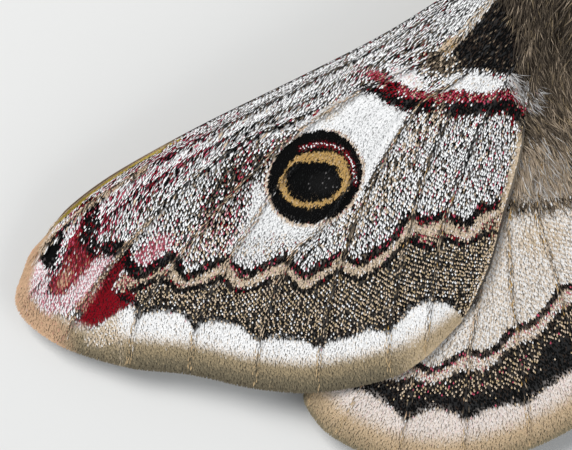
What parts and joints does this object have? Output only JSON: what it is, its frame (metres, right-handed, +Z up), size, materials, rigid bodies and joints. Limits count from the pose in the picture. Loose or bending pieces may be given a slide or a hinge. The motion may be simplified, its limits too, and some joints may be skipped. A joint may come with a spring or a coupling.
{
  "type": "emperor moth",
  "caption": "Life-size emperor moth, an adult female at rest, wings spread flat and low, standing on the floor on her six legs.",
  "frame": {"origin": "on the floor, under the middle of the box round the whole moth", "axes": "+Z up from the floor, head towards -Y, tail towards +Y, the moth's left side at +X"},
  "size_m": [0.0742, 0.038, 0.0095],
  "materials": {
    "grey_wing": "grey scales with dark, white, crimson and ochre markings",
    "pale_wing": "pale scales with dark wavy lines",
    "brown_coat": "long taupe hair",
    "eye": "dark and glossy",
    "leg": "dark brown, hairy",
    "feeler": "ochre brown"
  },
  "bodies": {
    "root": {"thorax": "brown_coat", "head": "brown_coat", "abdomen": "brown_coat", "eye_left": "eye", "eye_right": "eye", "antenna_left": "feeler", "antenna_right": "feeler", "forewing_left": "grey_wing", "forewing_right": "grey_wing", "hindwing_left": "pale_wing", "hindwing_right": "pale_wing", "foreleg_left": "leg", "foreleg_right": "leg", "midleg_left": "leg", "midleg_right": "leg", "hindleg_left": "leg", "hindleg_right": "leg"}
  },
  "joints": []
}
